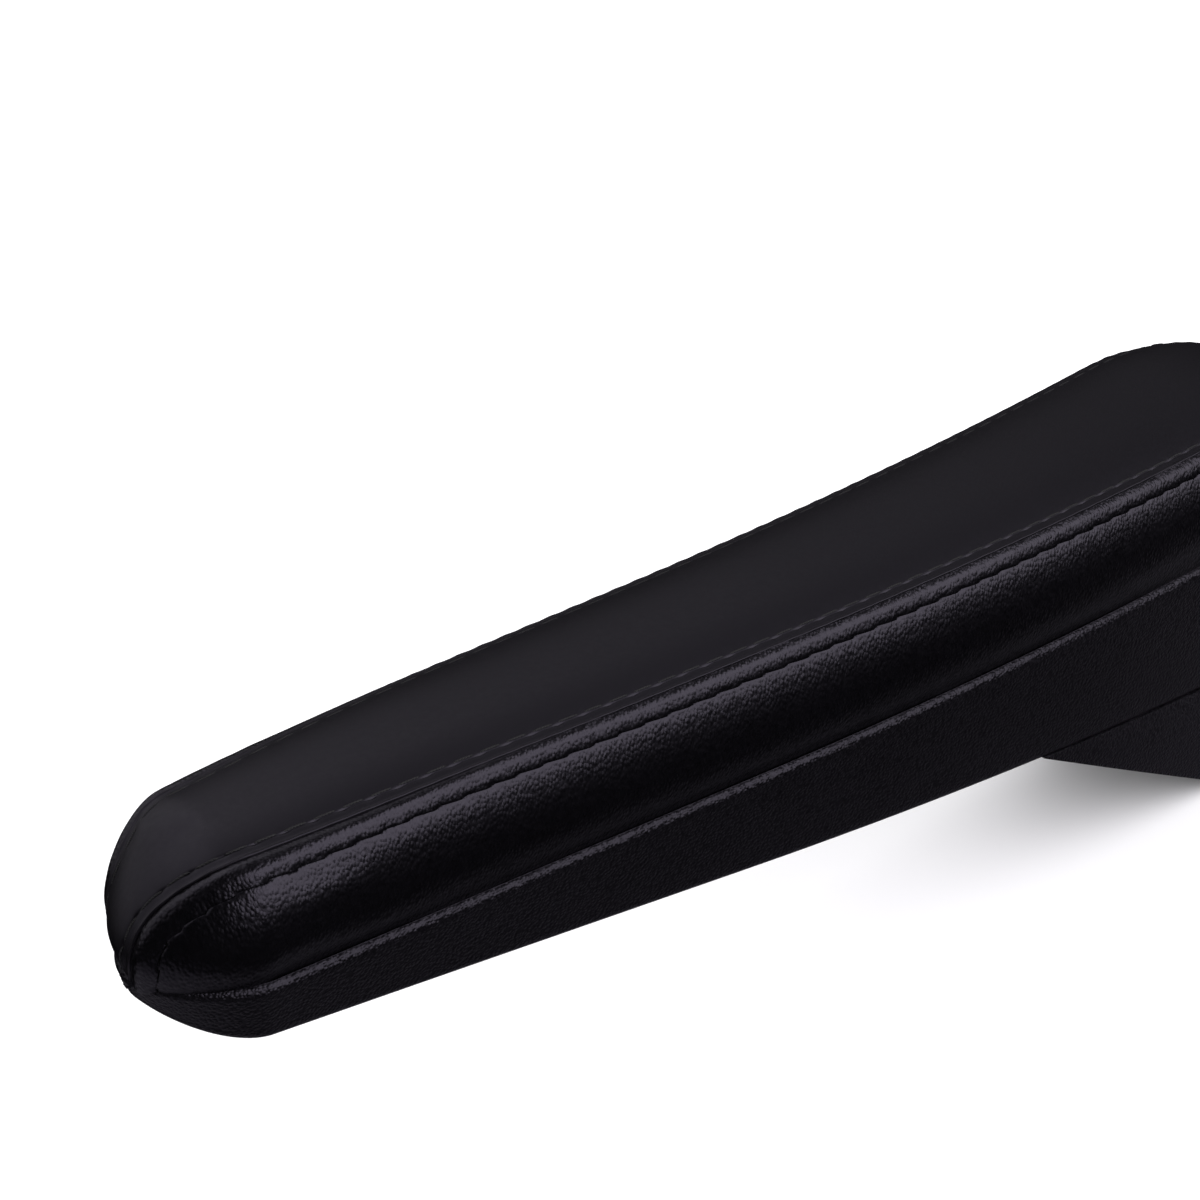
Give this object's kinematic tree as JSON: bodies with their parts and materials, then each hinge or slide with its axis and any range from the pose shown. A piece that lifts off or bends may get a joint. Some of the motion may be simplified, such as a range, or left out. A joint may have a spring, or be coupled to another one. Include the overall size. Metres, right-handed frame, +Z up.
{
  "type": "chair armrest pad",
  "caption": "Long upholstered chair armrest with a stitched leather pad on a moulded tray that deepens towards a bolt-on support bracket.",
  "frame": {"origin": "centre of the flat foot under the support bracket, where the arm bolts to the chair", "axes": "+X runs back along the arm, the rounded nose points to -X; +Z up; the outer side of the arm faces -Y and the sitter is on +Y"},
  "size_m": [0.393, 0.068, 0.112],
  "materials": {
    "smooth_leather": "smooth semi-gloss black leather",
    "grained_leather": "pebble-grained semi-gloss black leather",
    "thread": "waxed black sewing thread",
    "foam": "cut polyurethane foam",
    "board": "bare plywood",
    "zinc": "zinc plated",
    "moulding": "leather-textured black moulding",
    "coated_steel": "black coated steel"
  },
  "bodies": {
    "root": {"leather_top_panel": "smooth_leather", "leather_outer_cheek": "grained_leather", "leather_inner_cheek": "grained_leather", "topstitch_upper_outer": "thread", "topstitch_lower_outer": "thread", "topstitch_upper_inner": "thread", "topstitch_lower_inner": "thread", "foam_core": "foam", "pad_board": "board", "tee_nut_1": "zinc", "tee_nut_2": "zinc", "tee_nut_3": "zinc", "tee_nut_4": "zinc", "arm_tray": "moulding", "steel_arm_bar": "coated_steel", "pad_screw_1": "zinc", "pad_screw_2": "zinc", "pad_screw_3": "zinc", "pad_screw_4": "zinc", "screw_plug_1": "moulding", "screw_plug_2": "moulding", "screw_plug_3": "moulding", "support_bracket": "moulding", "foot_plate": "coated_steel", "foot_screw_1": "zinc", "foot_screw_2": "zinc", "foot_screw_3": "zinc", "foot_screw_4": "zinc", "bracket_washer_1": "zinc", "bracket_washer_2": "zinc", "bracket_bolt_1": "zinc", "bracket_bolt_2": "zinc", "bracket_front_screw": "zinc"}
  },
  "joints": []
}
